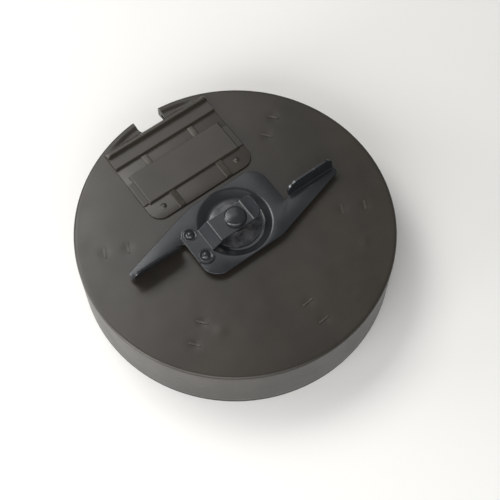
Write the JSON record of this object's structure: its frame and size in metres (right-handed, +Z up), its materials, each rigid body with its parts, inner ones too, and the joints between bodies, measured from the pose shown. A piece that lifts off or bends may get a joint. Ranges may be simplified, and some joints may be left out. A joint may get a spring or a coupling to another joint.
{
  "type": "film developing tank",
  "caption": "Shallow round developing tank for narrow film, with a deep lift-off cap, a notched pouring bay, a low hood and a winged key that turns the spiral reel inside.",
  "frame": {"origin": "middle of the flat base, on the surface that the tank stands on", "axes": "+Z up along the spindle; +Y from the spindle towards the pouring bay; +X along the winged key's long direction"},
  "size_m": [0.16, 0.16, 0.0454],
  "materials": {
    "black_lacquer": "satin warm-black lacquer over pressed steel sheet",
    "blued_steel": "blue-black steel, semi-gloss, rubbed bright along the edges",
    "plain_steel": "turned steel",
    "felt": "pressed black felt",
    "reel_plastic": "moulded black phenolic"
  },
  "bodies": {
    "tank": {"tank_pan": "black_lacquer", "pour_bay": "black_lacquer", "inlet_baffles": "black_lacquer", "centre_post": "plain_steel", "post_rivets": "plain_steel", "floor_runners": "black_lacquer", "lid_seat_ring": "black_lacquer", "light_seal": "felt"},
    "lid": {"lid_cap": "black_lacquer", "cap_wall": "black_lacquer", "lid_skirt": "black_lacquer", "hold_down_brackets": "black_lacquer", "lid_bush": "plain_steel", "vent_baffle": "black_lacquer", "hood_plate": "black_lacquer", "weir_bar": "black_lacquer", "hood_cover": "black_lacquer", "hood_straps": "black_lacquer", "hood_rivets": "black_lacquer"},
    "agitator": {"agitator_spindle": "plain_steel", "drive_pin": "plain_steel", "spindle_clip": "plain_steel", "thrust_washer": "plain_steel", "wing_key": "blued_steel", "hub_washer": "blued_steel", "leaf_spring": "blued_steel", "key_rivets": "blued_steel", "domed_nut": "blued_steel"},
    "reel": {"reel_core": "reel_plastic", "lower_flange": "reel_plastic", "upper_flange": "reel_plastic", "reel_collar": "reel_plastic", "film_clip": "plain_steel"}
  },
  "joints": [
    {"name": "lid_lift", "type": "slide", "parent": "tank", "child": "lid", "axis": [0, 0, 1], "range_m": [0, 0.045]},
    {"name": "agitator_turn", "type": "hinge", "parent": "lid", "child": "agitator", "pos_m": [0, 0, 0.034], "axis": [0, 0, 1], "continuous": true},
    {"name": "reel_turn", "type": "hinge", "parent": "tank", "child": "reel", "pos_m": [0, 0, 0.012], "axis": [0, 0, 1], "continuous": true}
  ],
  "couplings": [
    {"joint": "reel_turn", "follows": "agitator_turn", "ratio": 1}
  ]
}
